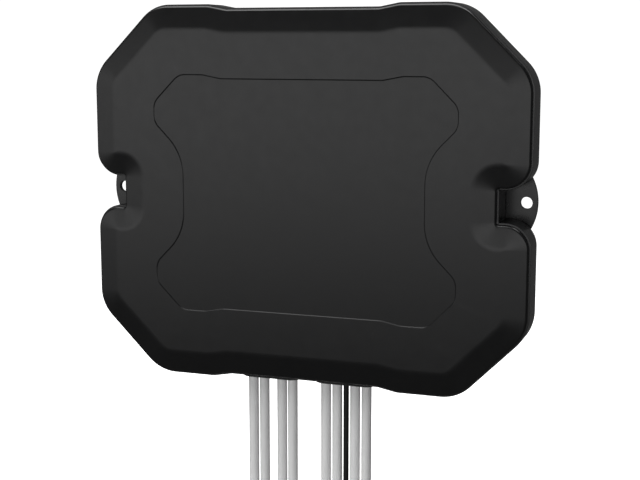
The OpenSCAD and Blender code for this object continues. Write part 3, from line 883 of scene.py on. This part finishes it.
def soft_polygon(corners, r, steps=5):
    """The polygon with its corners bent round, as a strap lies over a coil."""
    out = []
    for i in range(len(corners)):
        a, b, e, u, v = corner_dirs(corners, i)
        run = min(r * math.tan(abs(turn_of(u, v)) / 2), 0.45 * math.dist(a, b), 0.45 * math.dist(b, e))
        p = (b[0] - u[0] * run, b[1] - u[1] * run)
        q = (b[0] + v[0] * run, b[1] + v[1] * run)
        for k in range(steps + 1):
            w = k / steps
            out.append(tuple((1 - w) ** 2 * p[c] + 2 * w * (1 - w) * b[c] + w * w * q[c] for c in (0, 1)))
    return out


def tie_mesh(side):
    """Two straps, over the top and the bottom of one coil."""
    bm = bmesh.new()
    inner = soft_polygon(TIE_INNER[side], 1.4)
    outer = soft_polygon(TIE_OUTER[side], 2.2)
    rows = [(inner, -TIE_HALF_W), (outer, -TIE_HALF_W), (outer, TIE_HALF_W), (inner, TIE_HALF_W)]
    for up in (1, -1):
        skin(bm, [
            [
                bm.verts.new(((side * COIL_X + x) * MM, -depth * MM, (COIL_Z + up * reach) * MM))
                for reach, depth in section
            ]
            for section, x in rows
        ], closed=True)
    return smooth_mesh(bm, "tie", 40)


for word, side in (("left", -1), ("right", 1)):
    strap = add_piece(f"strap_{word}", tie_mesh(side), M_TIE, nodes=[f"tie_{word}"])
    bevel = strap.modifiers.new("edge", "BEVEL")
    bevel.width = 0.0003
    bevel.segments = 2


# ---------------------------------------------------------------- floor and backdrop
def paper(tree, shader):
    """Pale paper that is lit evenly enough to stay plain white in the picture."""
    shader.inputs["Base Color"].default_value = (0.86, 0.86, 0.86, 1)
    shader.inputs["Roughness"].default_value = 0.9
    shader.inputs["Emission Color"].default_value = (1, 1, 1, 1)
    shader.inputs["Emission Strength"].default_value = 0.95


def backdrop_material():
    m = bpy.data.materials.new("dome_light")
    m.use_nodes = True
    tree = m.node_tree
    tree.nodes.clear()
    out = tree.nodes.new("ShaderNodeOutputMaterial")
    glow = tree.nodes.new("ShaderNodeEmission")
    glow.inputs["Color"].default_value = (1, 1, 1, 1)
    glow.inputs["Strength"].default_value = 1.1
    tree.links.new(glow.outputs["Emission"], out.inputs["Surface"])
    return m


def stage_piece(name, bm, material):
    mesh = bpy.data.meshes.new(name)
    bm.to_mesh(mesh)
    bm.free()
    mesh.materials.append(material)
    return link(name, mesh)


floor_bm = bmesh.new()
bmesh.ops.create_grid(floor_bm, x_segments=1, y_segments=1, size=9)
floor = stage_piece("floor", floor_bm, mat("floor_paint", paper))
floor.location.z = FLOOR_Z * MM
dome_bm = bmesh.new()
bmesh.ops.create_icosphere(dome_bm, subdivisions=4, radius=8)
dome = stage_piece("dome", dome_bm, backdrop_material())
# neither is reflected or lights anything, so that the lights alone shape the object
for flag in ("visible_diffuse", "visible_glossy"):
    setattr(floor, flag, False)
    setattr(dome, flag, False)
for flag in ("visible_transmission", "visible_shadow", "visible_volume_scatter"):
    setattr(dome, flag, False)

# ---------------------------------------------------------------- studio light
world = bpy.data.worlds.new("studio")
bpy.context.scene.world = world
world.use_nodes = True
sky = world.node_tree
sky.nodes.clear()


def step(value, low_edge, high_edge, falling=False):
    n = sky.nodes.new("ShaderNodeMapRange")
    n.interpolation_type = "SMOOTHSTEP"
    n.inputs["From Min"].default_value = low_edge
    n.inputs["From Max"].default_value = high_edge
    n.inputs["To Min"].default_value = 1 if falling else 0
    n.inputs["To Max"].default_value = 0 if falling else 1
    sky.links.new(value, n.inputs["Value"])
    return n.outputs["Result"]


def times(a, b):
    return math_node(sky, "MULTIPLY", a, b)


def plus(a, b):
    return math_node(sky, "ADD", a, b)


def light_the_world():
    """A long softbox in front and to the left, at the object's height, and a dim room round it."""
    out = sky.nodes.new("ShaderNodeOutputWorld")
    background = sky.nodes.new("ShaderNodeBackground")
    towards = sky.nodes.new("ShaderNodeTexCoord")
    split = sky.nodes.new("ShaderNodeSeparateXYZ")
    sky.links.new(towards.outputs["Generated"], split.inputs["Vector"])
    dx, dy, dz = (split.outputs[k] for k in range(3))
    bearing = math_node(sky, "ARCTAN2", dx, times(dy, -1.0))
    box = times(step(dz, -0.26, -0.05), step(dz, 0.13, 0.2, falling=True))
    box = times(box, step(bearing, -1.25, -0.55))
    box = times(box, step(bearing, 0.45, 0.9, falling=True))
    front = plus(0.21, times(step(dz, 0.15, 0.3, falling=True), 0.1))
    behind = step(dy, -0.2, 0.3)
    room = plus(times(front, math_node(sky, "SUBTRACT", 1.0, behind)), times(behind, 0.13))
    sky.links.new(plus(room, times(box, 3.5)), background.inputs["Strength"])
    sky.links.new(background.outputs["Background"], out.inputs["Surface"])


def area_light(name, place, target, width, height, power):
    data = bpy.data.lights.new(name, "AREA")
    data.shape = "RECTANGLE"
    data.size = width
    data.size_y = height
    data.energy = power
    obj = link(name, data)
    obj.location = place
    obj.rotation_euler = (Vector(target) - Vector(place)).to_track_quat("-Z", "Y").to_euler()


light_the_world()
area_light("top", (-0.1, 0.2, 1.6), (0, 0, 0), 2.4, 1.6, 76)
area_light("key", (-0.8, -1.4, 2.1), (0, 0, -0.2), 2.2, 1.4, 30)

bpy.context.scene.view_settings.view_transform = "Standard"
